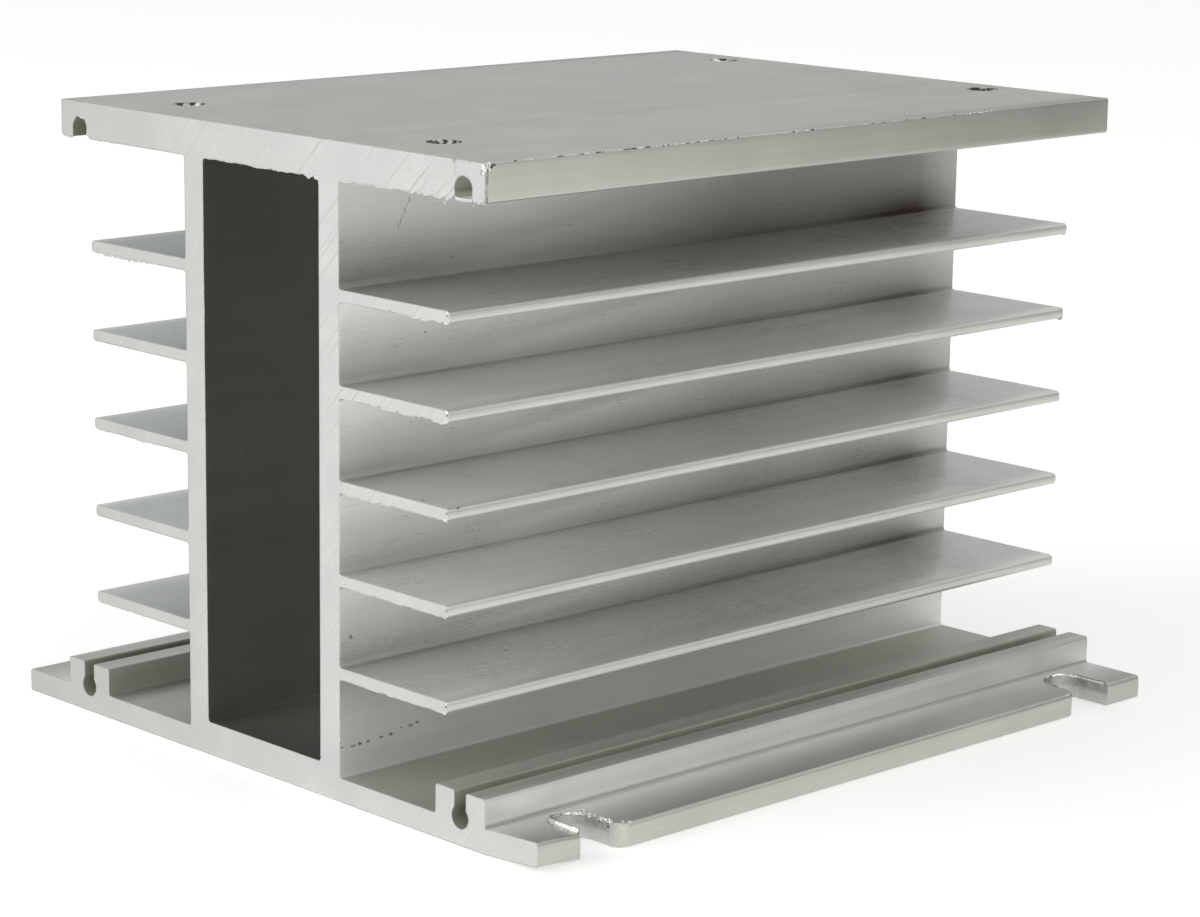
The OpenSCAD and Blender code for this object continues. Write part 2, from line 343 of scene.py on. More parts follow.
def mill_skin(name, dark, light, shade_share, roughness, deep=0):
    """6063 aluminium as extruded, mill finish: a dull satin skin with die lines along its length,
    cloudy in patches the size of a thumb, with small specks of dirt, and with painted light and
    shade: brighter in the bays, darker in their creases, towards the rear and under the plate.
    The fourth argument is the strength of the painted shade and 0 where the skin is not open to
    the bays; `deep` is how much paler it is inside, away from the cut ends."""
    material, t = new_material(name)
    place = add(t, "TexCoord").outputs["Object"]
    xyz = add(t, "SeparateXYZ", {"Vector": place})
    along, height = xyz.outputs["Y"], xyz.outputs["Z"]
    side = add(t, "Math", {0: xyz.outputs["X"]}, operation="ABSOLUTE")
    # die lines: drawn 0.35 mm apart across the section and about 60 mm long, where real ones are
    # ten times finer and would not show
    lines = add(t, "TexNoise", {
        "Vector": add(t, "Mapping", {"Vector": place, "Scale": (2900, 16, 2900)}),
        "Scale": 1.0, "Detail": 3.0, "Roughness": .6})
    # broad bands left by the die: 4 mm wide
    bands = add(t, "TexNoise", {
        "Vector": add(t, "Mapping", {"Vector": place, "Scale": (260, 5, 260)}),
        "Scale": 1.0, "Detail": 2.0, "Roughness": .5})
    # cloudy oxide: 12 mm patches
    clouds = add(t, "TexNoise", {"Vector": place, "Scale": 85.0, "Detail": 4.0,
                                 "Roughness": .62})
    streaks = add(t, "MixRGB", {"Fac": .46, "Color1": lines, "Color2": bands})
    tone = add(t, "MixRGB", {"Fac": .38, "Color1": streaks, "Color2": clouds})
    colour = add(t, "ValToRGB", {"Fac": tone})
    set_stops(colour, (.34, dark), (.66, light))
    # painted light: the skin in the bays between the fins, and at the foot of the ports' outer
    # walls, is made brighter
    web = add(t, "MapRange", {"Value": side, "From Min": .0154, "From Max": .0149})
    bays, flange = between_fins(t, side, height, web)
    clear = add(t, "Math", {0: bays, 1: flange}, operation="MAXIMUM")
    clear = add(t, "Math", {0: clear, 1: float(shade_share > 0)}, operation="MULTIPLY")
    # painted light: the webs are tinted warmer than the fins, for the warm light from the floor
    # and the right, and painted brightest in front and at their foot; the fins, at their rear ends
    # and towards their tips
    warm_lit_webs = add(t, "Math", {0: web, 1: clear}, operation="MULTIPLY")
    fore = add(t, "Math", {
        0: add(t, "MapRange", {"Value": along, "From Min": 0, "From Max": -.050}),
        1: add(t, "MapRange", {"Value": height, "From Min": .0090, "From Max": .0055,
                               "To Min": 0, "To Max": .8})}, operation="MAXIMUM")
    aft = add(t, "Math", {
        0: add(t, "MapRange", {"Value": along, "From Min": .028, "From Max": .042,
                               "To Min": 0, "To Max": 1.3}),
        1: add(t, "MapRange", {"Value": side, "From Min": .0285, "From Max": .0325})},
        operation="MAXIMUM")
    painted_light = add(t, "MixRGB", {"Fac": web, "Color1": aft, "Color2": fore})
    painted_light = add(t, "Math", {0: painted_light, 1: clear}, operation="MULTIPLY")
    inside = add(t, "MapRange", {"Value": add(t, "Math", {0: along}, operation="ABSOLUTE"),
                                 "From Min": .054, "From Max": .038,
                                 "To Min": 0, "To Max": deep})
    # these add the painted light above, and the paler inside of a channel
    for share, extra in ((clear, (.2, .2, .225, 1)), (warm_lit_webs, (0, .005, -.14, 1)),
                         (painted_light, (.1, .1, .09, 1)), (inside, (1, 1, .97, 1))):
        colour = add(t, "MixRGB", {"Fac": share, "Color1": colour, "Color2": extra},
                     blend_type="ADD")
    # over it lie specks of dirt, the rare peaks of a 0.6 mm grain, then two layers of painted shade
    specks = add(t, "MapRange", {
        "Value": add(t, "TexNoise", {"Vector": place, "Scale": 1300.0, "Detail": 2.0}),
        "From Min": .77, "From Max": .82, "To Min": 0, "To Max": .6})
    base_shade = painted_base_shade(t, along, side, height)
    crease_shade, fillet = painted_bay_shade(t, along, side, height, web)
    crease_shade = add(t, "Math", {0: crease_shade, 1: shade_share}, operation="MULTIPLY")
    # the specks are dirt; the other two colours are painted shade
    for share, dirt_and_shade in ((specks, "#4E4C44"), (base_shade, "#4A473C"), (crease_shade, "#3E382B")):
        colour = add(t, "MixRGB", {"Fac": share, "Color1": colour, "Color2": linear(dirt_and_shade)})
    # handling has roughened the outer faces, and the fins' tips most of all; the die left the
    # fillets and the foot of the webs rough
    handled = add(t, "MapRange", {"Value": bays, "From Min": 1, "From Max": 0,
                                  "To Min": roughness, "To Max": roughness + .12})
    tip = add(t, "MapRange", {"Value": side, "From Min": .0322, "From Max": .0340,
                              "To Min": 0, "To Max": .22})
    tip = add(t, "Math", {0: tip, 1: bays}, operation="MULTIPLY")
    coarse = add(t, "Math", {0: fillet, 1: .4 * (shade_share > 0)}, operation="MULTIPLY")
    foot = add(t, "MapRange", {"Value": height, "From Min": .0145, "From Max": .0085,
                               "To Min": 0, "To Max": .25})
    coarse = add(t, "Math", {0: foot, 1: warm_lit_webs, 2: coarse}, operation="MULTIPLY_ADD")
    coarse = add(t, "Math", {0: tip, 1: coarse}, operation="ADD")
    handled = add(t, "Math", {0: handled, 1: coarse}, operation="ADD")
    rough = add(t, "Math", {0: tone, 1: .15, 2: handled}, operation="MULTIPLY_ADD")
    relief = add(t, "Bump", {"Height": lines, "Strength": .06, "Distance": 2e-5,
                             "Normal": add(t, "Bevel", {"Radius": ARRIS_R})})
    shader = add(t, "BsdfPrincipled", {"Base Color": colour, "Metallic": .7,
                                       "Roughness": rough, "Normal": relief})
    add(t, "OutputMaterial", {"Surface": shader})
    return material


def sawn_face():
    """The same aluminium, cut by a circular saw: pale fresh metal with faint arcs of tooth marks
    about the blade's centre, which lay below and to the right, and a fine grain between them."""
    material, t = new_material("circular_saw_cut_aluminium")
    place = add(t, "TexCoord").outputs["Object"]
    xyz = add(t, "SeparateXYZ", {"Vector": place})
    grain = add(t, "TexNoise", {"Vector": place, "Scale": 2600.0, "Detail": 3.0,
                                "Roughness": .6})
    patch = add(t, "TexNoise", {"Vector": place, "Scale": 160.0, "Detail": 2.0})
    # distance from the blade's centre, in the plane of the cut
    arm = add(t, "VectorMath", {0: place, 1: (.283, 0, -.191)}, operation="SUBTRACT")
    arm = add(t, "VectorMath", {0: arm, 1: (1, 0, 1)}, operation="MULTIPLY")
    radius = add(t, "VectorMath", {0: arm}, operation="LENGTH").outputs["Value"]
    # single deep tooth marks, about 1.1 mm apart, broken where the blade sprang; most are in the
    # plate's right half, and almost none low down
    deep = add(t, "TexNoise", {"W": radius, "Scale": 1900.0, "Detail": 1.0},
               noise_dimensions="1D")
    deep = add(t, "MapRange", {"Value": deep, "From Min": .60, "From Max": .70})
    held = add(t, "MapRange", {"Value": patch, "From Min": .40, "From Max": .56})
    right = add(t, "MapRange", {"Value": xyz.outputs["X"], "From Min": -.030, "From Max": .015,
                                "To Min": .2, "To Max": 1.0})
    held = add(t, "Math", {0: held, 1: right}, operation="MULTIPLY")
    high = add(t, "MapRange", {"Value": xyz.outputs["Z"], "From Min": 0, "From Max": .07,
                               "To Min": .15, "To Max": 1.0})
    held = add(t, "Math", {0: held, 1: high}, operation="MULTIPLY")
    deep = add(t, "Math", {0: deep, 1: held}, operation="MULTIPLY")
    # fine tooth marks: drawn about 0.3 mm apart, coarser than a real blade's, so that they show
    fine = add(t, "TexNoise", {"W": radius, "Scale": 5200.0, "Detail": 2.0},
               noise_dimensions="1D")
    ground = add(t, "MixRGB", {"Fac": .5, "Color1": grain, "Color2": patch})
    tone = add(t, "MixRGB", {"Fac": .28, "Color1": ground, "Color2": fine})
    colour = add(t, "ValToRGB", {"Fac": tone})
    set_stops(colour, (.34, "#B8BAB8"), (.66, "#C6C8C5"))
    # the tooth marks are darker, and the face grows darker towards its -X end
    marks = add(t, "Math", {0: deep, 1: .35}, operation="MULTIPLY")
    darker_to_minus_x = add(t, "MapRange", {"Value": xyz.outputs["X"], "From Min": .010, "From Max": -.045,
                               "To Min": 0, "To Max": .42})
    for share, dark in ((marks, "#8C8C88"), (darker_to_minus_x, "#9A9A96")):
        colour = add(t, "MixRGB", {"Fac": share, "Color1": colour, "Color2": linear(dark)})
    rough = add(t, "MapRange", {"Value": tone, "From Min": .3, "From Max": .7,
                                "To Min": .60, "To Max": .50})
    height = add(t, "Math", {0: deep, 1: -.8, 2: tone}, operation="MULTIPLY_ADD")
    relief = add(t, "Bump", {"Height": height, "Strength": .35, "Distance": 5e-5,
                             "Normal": add(t, "Bevel", {"Radius": ARRIS_R})})
    shader = add(t, "BsdfPrincipled", {"Base Color": colour, "Metallic": .8,
                                       "Roughness": rough, "Normal": relief})
    add(t, "OutputMaterial", {"Surface": shader})
    return material


def punched_wall():
    """The wall of a punched slot: smooth and burnished below, torn, dark and pitted above."""
    material, t = new_material("punched_aluminium_wall")
    place = add(t, "TexCoord").outputs["Object"]
    height = add(t, "SeparateXYZ", {"Vector": place}).outputs["Z"]
    torn = add(t, "TexNoise", {"Vector": place, "Scale": 1100.0, "Detail": 5.0,
                               "Roughness": .7})
    # where the smooth part ends: a ragged line about 1.5 mm up
    line = add(t, "Math", {0: torn, 1: .0012, 2: height}, operation="MULTIPLY_ADD")
    line = add(t, "MapRange", {"Value": line, "From Min": .0020, "From Max": .0024})
    streaks = add(t, "TexNoise", {
        "Vector": add(t, "Mapping", {"Vector": place, "Scale": (2500, 2500, 150)}),
        "Scale": 1.0, "Detail": 2.0})
    low = add(t, "MixRGB", {"Fac": streaks, "Color1": linear("#A9AAA6"),
                            "Color2": linear("#C6C7C3")})
    high = add(t, "MixRGB", {"Fac": torn, "Color1": linear("#77776F"),
                             "Color2": linear("#C4C5C0")})
    colour = add(t, "MixRGB", {"Fac": line, "Color1": low, "Color2": high})
    relief = add(t, "Bump", {"Height": torn, "Strength": .6, "Distance": 2e-4})
    shader = add(t, "BsdfPrincipled", {"Base Color": colour, "Metallic": 1.0,
                                       "Roughness": .45, "Normal": relief})
    add(t, "OutputMaterial", {"Surface": shader})
    return material


def torn_metal(name, dark, light, roughness, scale):
    """Bare aluminium that a tool tore or cut: it glints from facet to facet, and is darker in
    patches of 1 / scale metres: dirt on most pieces, painted shade in the tapped holes."""
    material, t = new_material(name)
    place = add(t, "TexCoord").outputs["Object"]
    patch = add(t, "TexNoise", {"Vector": place, "Scale": scale, "Detail": 3.0})
    share = add(t, "MapRange", {"Value": patch, "From Min": .44, "From Max": .60})
    colour = add(t, "MixRGB", {"Fac": share, "Color1": linear(dark), "Color2": linear(light)})
    relief = add(t, "Bump", {"Height": patch, "Strength": .3, "Distance": 4e-5})
    shader = add(t, "BsdfPrincipled", {"Base Color": colour, "Metallic": 1.0,
                                       "Roughness": roughness, "Normal": relief})
    add(t, "OutputMaterial", {"Surface": shader})
    return material


# ---------------------------------------------------------------- the extrusion

# The finishes of the extrusion, in the order of its material slots.
SKIN, SAWN, PUNCHED, TAPPED, CHANNEL, BLUNTED, NOTCH = range(7)


def read(items, key):
    """A vector of every vertex or face of a mesh, as rows of an array."""
    values = np.zeros(len(items) * 3, np.float32)
    items.foreach_get(key, values)
    return values.reshape(-1, 3)


def extrusion(materials):
    """The sawn length: a merged copy of the CAD solid with soft arrises. Extra cuts through the
    front tab, the plate's corner and the slots' mouths let them bend, and the tapped holes' walls
    are left open for their threads."""
    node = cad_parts["heat_sink"]
    mesh = node.data.copy()
    mesh.name = "heat_sink_extrusion"
    mesh.materials.clear()
    for material in materials:
        mesh.materials.append(material)
    bm = bmesh.new()
    bm.from_mesh(mesh)
    bmesh.ops.remove_doubles(bm, verts=bm.verts, dist=1e-6)
    # the steps of a rolled mouth corner, from its slot's wall and from the flange's edge
    roll = np.array([.25, .55, .9, 1.3, MOUTH_R])
    ends, edges = SLOT_Y - SLOT_W / 2 - roll, BASE_W / 2 - roll
    along = np.hstack([-54.7, np.arange(-54, -47.2, .9), -ends, ends])
    across = np.hstack([np.arange(41.5, 48, .9), -edges, edges])
    for places, normal in ((along, (0, 1, 0)), (across, (1, 0, 0))):
        for place in places:
            bmesh.ops.bisect_plane(bm, geom=bm.verts[:] + bm.edges[:] + bm.faces[:],
                                   plane_co=np.array(normal) * place * MM, plane_no=normal)
    bm.to_mesh(mesh)
    bm.free()
    if "custom_normal" in mesh.attributes:
        mesh.attributes.remove(mesh.attributes["custom_normal"])

    moved = knocked(read(mesh.vertices, "co") / MM)
    mesh.vertices.foreach_set("co", moved.ravel() * MM)
    centre, normal = read(mesh.polygons, "center") / MM, read(mesh.polygons, "normal")
    side, run, high = np.abs(centre[:, 0]), np.abs(centre[:, 1]), centre[:, 2]
    off_end = np.abs(normal[:, 1]) < .9
    slotted = ((side > SLOT_INNER_X - .1) & (side < BASE_W / 2 - .05) & (high < BASE_T + .8)
               & (np.abs(run - SLOT_Y) < SLOT_W / 2 + .02) & (np.abs(normal[:, 2]) < .3))
    axes = np.array([(x, y) for x in TAP_X for y in TAP_Y])
    from_axis = np.linalg.norm(centre[:, None, :2] - axes, axis=2).min(1)
    drilled = (from_axis < TAP_SINK_R) & (high > PLATE_Z) & (np.abs(normal[:, 2]) < .95)
    index = np.full(len(mesh.polygons), SKIN, np.int32)
    index[np.abs(normal[:, 1]) > .9] = SAWN
    index[slotted] = PUNCHED
    index[drilled] = TAPPED
    index[(centre[:, 0] > PLATE_W / 2 - .4) & (centre[:, 1] < FRONT + .35) & (high > PLATE_Z)
          & (normal[:, 0] > .3) & (normal[:, 1] < -.3)] = BLUNTED
    index[(side < CHANNEL_W / 2 + .1) & off_end & (high > CHANNEL_FLOOR - .1)
          & (high < PLATE_Z + .1)] = CHANNEL
    for x, half, low, top in (
            (GROOVE_X - .4, GROOVE_R + .5, PLATE_Z + .02, GROOVE_Z + GROOVE_R + .1),
            (PORT_X, PORT_BORE_R + .1, PORT_BORE_Z - PORT_BORE_R - .1, PORT_Z - .02)):
        index[(np.abs(side - x) < half) & off_end & (high > low) & (high < top)] = NOTCH
    mesh.polygons.foreach_set("material_index", index)

    bm = bmesh.new()
    bm.from_mesh(mesh)
    bm.faces.ensure_lookup_table()
    walls = np.flatnonzero(drilled & (np.abs(normal[:, 2]) < .1))
    bmesh.ops.delete(bm, geom=[bm.faces[k] for k in walls], context="FACES")
    bm.to_mesh(mesh)
    bm.free()
    mesh.shade_smooth()
    mesh.set_sharp_from_angle(angle=np.radians(28))
    piece = put("heat_sink_extrusion", mesh)
    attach(piece, "root")
    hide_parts("heat_sink")


def knocked(at):
    """What the punch, the saw and a fall did to the plain solid: each slot's mouth corner rolled
    round, the plate's front right arris blunted, and the front tab bent up."""
    centre = (BASE_W / 2 - MOUTH_R, SLOT_Y - SLOT_W / 2 - MOUTH_R)
    off = np.abs(at[:, :2]) - centre
    square = ((off > -1e-4) & (off < MOUTH_R + 1e-4)).all(1) & (at[:, 2] < BASE_T + .1)
    reach = np.linalg.norm(off, axis=1)
    scale = np.where(square & (reach > 1e-3), np.abs(off).max(1) / np.maximum(reach, 1e-3), 1)
    flat = np.where(square[:, None], np.sign(at[:, :2]) * (centre + off * scale[:, None]),
                    at[:, :2])
    blunt = ((at[:, 1] < FRONT + .01) & (at[:, 0] > PLATE_W / 2 - .35)
             & (at[:, 2] > PLATE_Z - .1))
    flat = flat - np.stack([.26 * blunt, 0 * blunt], 1)
    return bent_tab(np.column_stack([flat, at[:, 2]]))


def bent_tab(at):
    """The +X flange's front tab, knocked upwards: a hinge at the port's foot lifts it by 0.2 mm,
    at once above and over its whole width below, and it slopes up to 0.68 mm at its outer edge,
    all growing with the distance in front of the slot."""
    high, out = np.clip(at[:, 2] / BASE_T, 0, 1), at[:, 0] - FLANGE_X
    hinge = high * np.clip(out / .5, 0, 1) + (1 - high) * np.clip(out / 9, 0, 1)
    out = .2 * hinge + .48 * np.clip((out - .5) / 8.5, 0, 1)
    fore = np.clip((-SLOT_Y - SLOT_W / 2 + 1.2 - at[:, 1]) / 6.6, 0, 1)
    low = at[:, 2] < BASE_T + .1
    return at + np.stack([0 * out, 0 * out, out * fore ** .8 * low], 1)


# ---------------------------------------------------------------- burrs and threads

def sawn_burrs(side, seed):
    """Burrs along one cut end: a feather that hangs, in broken stretches, from edges that face
    down or to the right, and is only a trace on the rest. The channel's upper right corner at the
    front is torn."""
    grids = []
    for number, (line, full) in enumerate([(section_outline(), .42), (channel_outline(), .22)]):
        points, at = even_steps(line, True)
        ahead = np.roll(points, -1, 0) - np.roll(points, 1, 0)
        ahead /= np.linalg.norm(ahead, axis=1)[:, None]
        out = np.stack([ahead[:, 1], -ahead[:, 0]], 1)
        pull = np.clip(-out[:, 1], 0, 1) + .3 * np.clip(out[:, 0], 0, 1) + .07
        pull = pull * (points[:, 1] > .3) * np.clip(points[:, 1] / 60 - .1, .3, 1)
        stretch = np.clip(ragged(at, (5.3, 13.), seed + number) * 2.6 - .7, .12, 1)
        torn = np.linalg.norm((points - (10.2, PLATE_Z)) / (1.8, 1.3), axis=1)
        stretch = stretch + 4 * np.exp(-torn ** 2) * (side < 0)
        teeth = np.clip(ragged(at, (.31, .83, 2.1), seed + 5 + number) * 1.9 - .5, 0, 1.3)
        path = np.stack([points[:, 0], np.full(len(at), side * CUT_LENGTH / 2), points[:, 1]], 1)
        wide = np.stack([out[:, 0], np.zeros(len(at)), out[:, 1]], 1)
        ends = np.tile((0., side, 0.), (len(at), 1))
        ring, faces = feather(bent_tab(path), wide, ends, full * pull * stretch * teeth, True)
        grids.append((ring, faces if side < 0 else faces[:, ::-1]))
    return joined(grids)


def groove_sliver():
    """A sliver of metal that the saw smeared across the mouth of the front right groove: a
    feather along a line with a slight sag, standing up into the mouth."""
    count = 24
    at = np.linspace(-1, 1, count)
    path = np.stack([GROOVE_X + at * GROOVE_MOUTH / 2, np.full(count, FRONT + .05),
                     PLATE_Z + .02 - .1 * (1 - at ** 2)], 1)
    height = .34 + .08 * ragged(at * 6, (.7, 2.), 5)
    return feather(path, np.tile((0., 0, 1), (count, 1)), np.tile((0., -1, 0), (count, 1)),
                   height, False)


def slot_burrs(seed):
    """Lips round the tops of the four slots: a U-shaped line, two straights joined by a half
    circle, with a feather that stands up and leans into the slot. It is highest on the side next
    to the cut end."""
    grids = []
    turn = np.linspace(-np.pi / 2, np.pi / 2, 25)
    r, inner = SLOT_W / 2, SLOT_INNER_X + SLOT_W / 2
    u = np.vstack([(BASE_W / 2 - .5, -r), np.stack([inner - r * np.cos(turn), r * np.sin(turn)], 1),
                   (BASE_W / 2 - MOUTH_R - .2, r)])
    for number, (sx, sy) in enumerate([(1, -1), (1, 1), (-1, -1), (-1, 1)]):
        line, at = even_steps(u, False)
        ahead = np.gradient(line, axis=0)
        ahead /= np.linalg.norm(ahead, axis=1)[:, None]
        into = np.stack([-ahead[:, 1], ahead[:, 0]], 1)
        into = into * np.sign((into * (np.array([inner + 3, 0]) - line)).sum(1))[:, None]
        end_side = np.clip(-line[:, 1] / r, 0, 1)
        teeth = np.clip(ragged(at, (.33, .9, 2.7), seed + number) * 2 - .45, 0, 1.3)
        height = (.8 if number == 0 else .3) * end_side ** .7 * (.95 + .05 * teeth)
        height = height + .28 * teeth * (1 - end_side)
        path = np.stack([sx * line[:, 0], sy * (SLOT_Y - line[:, 1]), np.full(len(at), BASE_T)], 1)
        lean = np.stack([.4 * sx * into[:, 0], -.4 * sy * into[:, 1], np.full(len(at), .92)], 1)
        away = np.stack([-.9 * sx * into[:, 0], .9 * sy * into[:, 1], np.full(len(at), .3)], 1)
        ring, faces = feather(bent_tab(path), lean, away, height, False)
        grids.append((ring, faces if sx * sy > 0 else faces[:, ::-1]))
    return joined(grids)


def edge_wear(seed):
    """Knocks along the mounting face's +X arris: a tiny broken feather leaning outwards."""
    count = 900
    at = np.linspace(FRONT + .3, -FRONT - .3, count)
    path = np.stack([np.full(count, PLATE_W / 2 - .06), at, np.full(count, HEIGHT - .06)], 1)
    height = .13 * np.clip(ragged(at, (.4, 1.3, 6.), seed) * 2.4 - 1.0, 0, 1)
    return feather(path, np.tile((.8, 0, .6), (count, 1)), np.tile((-.6, 0, .8), (count, 1)),
                   height, False)


def crumbs(spots, seed):
    """Torn bits of metal: each is a ball whose radius is scattered by up to 40 % from point to
    point, squeezed to its own three half-sizes. A spot is (x, y, z, three half-sizes)."""
    spots = np.array(spots, float)
    rings, sides = 8, 9
    polar, turn = np.meshgrid(np.linspace(0, np.pi, rings), np.arange(sides) * 2 * np.pi / sides,
                              indexing="ij")
    ball = np.stack([np.sin(polar) * np.cos(turn), np.sin(polar) * np.sin(turn),
                     np.cos(polar)], 2)
    rng = np.random.default_rng(seed)
    scatter = 1 + .4 * rng.uniform(-1, 1, (len(spots), rings, sides, 1))
    scatter[:, 0], scatter[:, -1] = 1, 1
    points = spots[:, None, None, :3] + ball * scatter * spots[:, None, None, 3:]
    faces = (grid_faces(rings, sides, False, True)[None]
             + rings * sides * np.arange(len(spots))[:, None, None])
    return points, faces.reshape(-1, 4)


def torn_spots():
    """Where bits stand proud: the plate's struck front corner and its lip, the fins' front tips,
    the slots' lips and the web's front arris, and a few grains on the lowest fins."""
    plate = PLATE_W / 2
    rng = np.random.default_rng(3)
    corner = np.array([(plate - .15, FRONT + .12, 79.7), (plate - .30, FRONT + .05, 79.2),
                       (plate - .12, FRONT + .35, 79.3), (plate - .45, FRONT + .03, 78.8),
                       (plate - .10, FRONT + .5, 79.8), (plate - .6, FRONT + .02, 79.5)])
    corner = np.hstack([corner, rng.uniform(.14, .34, (6, 3)) * (1, .6, 1)])
    tips = [(FIN_X - .15 - .1 * k, FRONT + .04, z + dz, .16 + .03 * k, .10, .14)
            for z in FIN_Z0 + FIN_PITCH * np.arange(FIN_COUNT)
            for k, dz in ((0, .35), (2, 1.25), (5, .05))]
    lip = [(38.7, FRONT + .04, 75.45, .16, .05, .08), (39.2, FRONT + .04, 75.40, .20, .05, .09),
           (39.8, FRONT + .04, 75.38, .18, .05, .08), (40.2, FRONT + .05, 75.45, .14, .06, .10)]
    lips = np.stack([rng.uniform(43.2, 48.6, 20), TORN_WALL_Y - rng.uniform(-.1, .2, 20),
                     rng.uniform(2.85, 3.15, 20), *rng.uniform(.10, .28, (3, 20))], 1)
    mouth = [(49.7, -SLOT_Y + 5.0, 2.95, .16, .45, .12), (49.2, -SLOT_Y + 4.2, 3.0, .2, .3, .1),
             (49.7, SLOT_Y - 4.9, 2.95, .18, .35, .12)]
    dust = np.array([(18.4, -49.8, 0), (21.7, -50.3, 0), (26.0, -48.7, 0), (28.8, -51.1, 0),
                     (25.2, -54.4, 0), (31.4, -47.3, 0), (24.5, -47.6, 1), (23.9, -49.2, 1),
                     (27.3, -48.9, 1)])
    dust[:, 2] = FIN_Z0 + FIN_T + FIN_PITCH * dust[:, 2]
    dust = np.hstack([dust, np.tile((.09, .09, .03), (9, 1))])
    web = [(WEB_X, FRONT + .04, 7.96, .07, .10, .22), (WEB_X, FRONT + .04, 9.5, .06, .08, .16)]
    return np.vstack([corner, tips, lip, lips, mouth, dust, web])


def pitted_spots():
    """Where the metal is deeply nicked and dirty: behind the plate's struck corner and on along
    its arris, at the fins' tips and in the torn wall of the slot. They stand proud by a hair."""
    plate = PLATE_W / 2
    rng = np.random.default_rng(8)
    corner = [(plate, FRONT + 1.0, 79.72, .03, .45, .14), (plate, FRONT + .75, 79.5, .03, .2, .16),
              (plate - .9, FRONT, 78.9, .05, .03, .34)]
    arris = np.stack([np.full(30, plate - .04), FRONT + rng.uniform(3, 80, 30),
                      np.full(30, HEIGHT - .08), np.full(30, .05), rng.uniform(.15, .6, 30),
                      rng.uniform(.04, .08, 30)], 1)
    tips = [(FIN_X - .32, FRONT, z + .9, .13, .03, .11)
            for z in FIN_Z0 + FIN_PITCH * np.arange(FIN_COUNT)]
    wall = [(47.9, TORN_WALL_Y, 2.25, .22, .03, .12), (46.4, TORN_WALL_Y, 2.5, .12, .03, .08)]
    fins = [(21.9, -34.6, FIN_Z0 + FIN_T, .24, .28, .02), (34.3, -53.4, 39.6, .08, .2, .06),
            (28.9, -54.2, FIN_Z0 + FIN_T + 2 * FIN_PITCH, .2, .2, .02)]
    return np.vstack([corner, arris, tips, wall, fins])


def scuffed_spots():
    """Fainter marks: scores and drips on the cut face, a broken score low on the right web, a
    scratch high on it, and small specks on it and on the fins. The drips' darker colour is partly
    painted shade of their downward faces."""
    web = WEB_X
    cut = [(35.05, FRONT, 79.72, .34, .03, .22), (35.2, FRONT, 78.9, .06, .02, .75),
           (37.6, FRONT, 79.8, .14, .03, .16), (20.3, FRONT, 78.4, .10, .02, .08),
           (27.2, FRONT, 78.0, .08, .02, .08), (29.6, FRONT, 77.6, .07, .02, .07),
           (24.0, FRONT, 61.25, .26, .03, .14), (30.3, FRONT + .04, 75.22, .30, .05, .16),
           (33.5, FRONT + .04, 75.12, .42, .05, .22), (33.5, FRONT + .04, 74.86, .20, .05, .22),
           (29.2, FRONT + .04, 75.3, .24, .05, .10), (22.4, FRONT + .04, 75.3, .30, .05, .10),
           (25.3, FRONT + .04, 75.32, .34, .05, .08), (38.3, FRONT + .04, 75.1, .10, .05, .20)]
    score = np.array([(-54.7, 6.78, .25, .10), (-52.9, 6.64, .45, .15), (-51.9, 6.74, .30, .18),
                      (-50.6, 6.76, .28, .14), (-48.5, 6.86, .40, .13), (-47.0, 6.97, .30, .17),
                      (-45.3, 7.48, .16, .10), (-43.8, 7.46, .45, .19), (-42.8, 7.64, .30, .16)])
    score = np.column_stack([np.full(9, web + .01), score[:, :2], np.full(9, .03), score[:, 2:]])
    scratch = np.stack([np.full(6, web + .01), np.linspace(-44.2, -45.9, 6),
                        np.linspace(72.2, 69.2, 6), np.full(6, .02), np.full(6, .06),
                        (.35, .16, .35, .12, .30, .35)], 1)
    specks = [(web, -44.7, 63.9, .02, .16, .14), (web, -47.2, 64.1, .02, .28, .10),
              (web, -51.6, 64.5, .02, .14, .10), (web, -37.4, 64.8, .02, .22, .12),
              (web, -54.7, 68.1, .02, .12, .10), (web, -41.7, 56.0, .02, .16, .12),
              (web, -42.9, 35.8, .02, .14, .12), (web, -53.3, 20.3, .01, .30, .24)]
    return np.vstack([cut, score, scratch, specks])


def tapped_threads():
    """M4 threads in the four holes: radius = minor radius + a triangle wave of
    (height / pitch + turn), which fades to the plain hole at both ends."""
    pitch, depth, sides = .7, .34, 64
    z = np.linspace(HEIGHT - TAP_SINK_H, PLATE_Z, 83)
    turn = np.arange(sides) * 2 * np.pi / sides
    zz, tt = np.meshgrid(z, turn, indexing="ij")
    wave = 1 - np.abs(((zz / pitch + tt / (2 * np.pi)) % 1) * 2 - 1)
    fade = np.clip((z[0] - zz) / .25, 0, 1) * np.clip((zz - z[-1]) / .25, 0, 1)
    radius = TAP_R + depth * wave * fade
    ring = np.stack([radius * np.cos(tt), radius * np.sin(tt), zz], 2)
    faces = grid_faces(len(z), sides, False, True)
    return joined([(ring + (x, y, 0), faces) for x in TAP_X for y in TAP_Y])


skin = mill_skin("extruded_aluminium_mill_finish", "#B6B5AE", "#C8C7C0", .75, .21)
# the channel's inside: dull, painted dark for the shade in the deep channel, and paler deep in
shaded_channel_wall = mill_skin("extruded_aluminium_channel_wall", "#747571", "#80817C", 0, .35, .24)
# the grooves and screw ports: the same skin, left rough by a thin part of the die
notch = mill_skin("extruded_aluminium_notch_wall", "#9C9B90", "#AFAEA3", 0, .55)
sawn, punched = sawn_face(), punched_wall()
# freshly torn lips and crumbs: bare facets that glint
bright = torn_metal("torn_aluminium_bright", "#BFC0BC", "#E8E9E6", .22, 3500)
# threads as tapped: bright crests, and dark patches of painted shade and painted dark reflection in
# the holes
threads = torn_metal("tapped_aluminium_painted_shade", "#3A3932", "#E4E4DA", .28, 620)
# nicks full of dirt: dark and matt
nicked = torn_metal("nicked_aluminium_dirty", "#3C3B36", "#7C7C76", .5, 2500)
